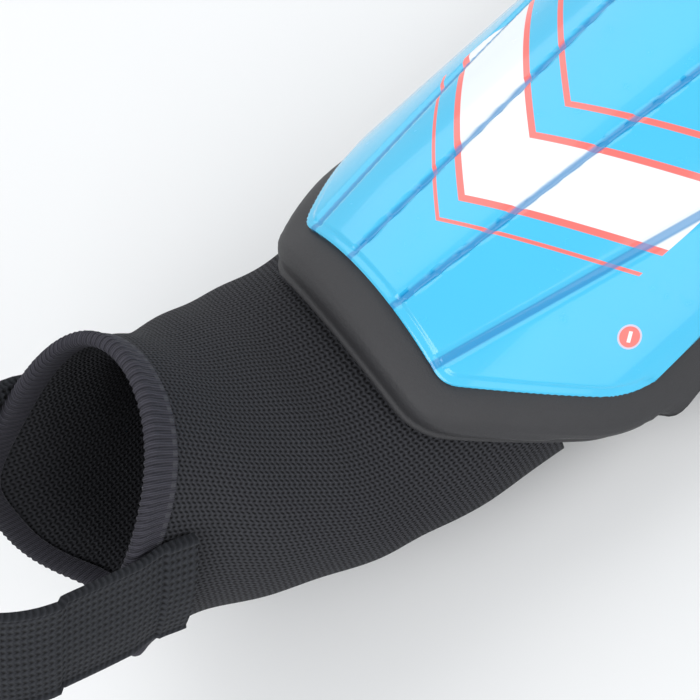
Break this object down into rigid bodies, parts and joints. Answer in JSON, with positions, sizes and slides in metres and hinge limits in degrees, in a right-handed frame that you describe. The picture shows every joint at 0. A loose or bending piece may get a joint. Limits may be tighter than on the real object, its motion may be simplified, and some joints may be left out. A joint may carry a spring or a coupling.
{
  "type": "shin guard",
  "caption": "Ball-sports shin guard: moulded shell on a rolled foam backing, knitted ankle sleeve with foot stirrup, and a calf strap with a hook-and-loop tab.",
  "frame": {"origin": "on the liner's inner crown line (the shin), level with the shell's ankle edge", "axes": "+Y up the leg from ankle to knee, +Z straight out of the shin, +X to the lateral side"},
  "size_m": [0.1189, 0.34, 0.1226],
  "materials": {
    "shell_plastic": "glossy",
    "foam": "matt",
    "liner_cloth": "matt",
    "knit": "matt",
    "binding": "matt",
    "webbing": "matt",
    "hook_loop": "matt"
  },
  "bodies": {
    "guard": {"shell": "shell_plastic", "foam_backing": "foam", "liner": "liner_cloth", "sleeve_anchor": "binding", "calf_strap": "webbing", "loop_patch": "hook_loop"},
    "sleeve": {"ankle_sleeve": "knit", "sleeve_top_hem": "knit", "toe_opening_binding": "binding", "heel_opening_binding": "binding", "stirrup_hem_lateral": "webbing", "stirrup_hem_medial": "webbing"},
    "stirrup": {"stirrup_strap": "webbing"},
    "tab": {"strap_tab": "webbing", "hook_patch": "hook_loop"}
  },
  "joints": [
    {"name": "sleeve_flex", "type": "hinge", "parent": "guard", "child": "sleeve", "pos_m": [0, 0.012, -0.0036], "axis": [1, 0, 0], "range_deg": [0, 18], "stiffness_Nm_per_rad": 0.6},
    {"name": "stirrup_swing", "type": "hinge", "parent": "sleeve", "child": "stirrup", "pos_m": [0, -0.09694, 0.02406], "axis": [1, 0, 0], "range_deg": [-30, 30], "stiffness_Nm_per_rad": 0.06},
    {"name": "tab_peel", "type": "hinge", "parent": "guard", "child": "tab", "pos_m": [0.0626, 0.148, -0.052], "axis": [0, 1, 0], "range_deg": [0, 95]}
  ]
}
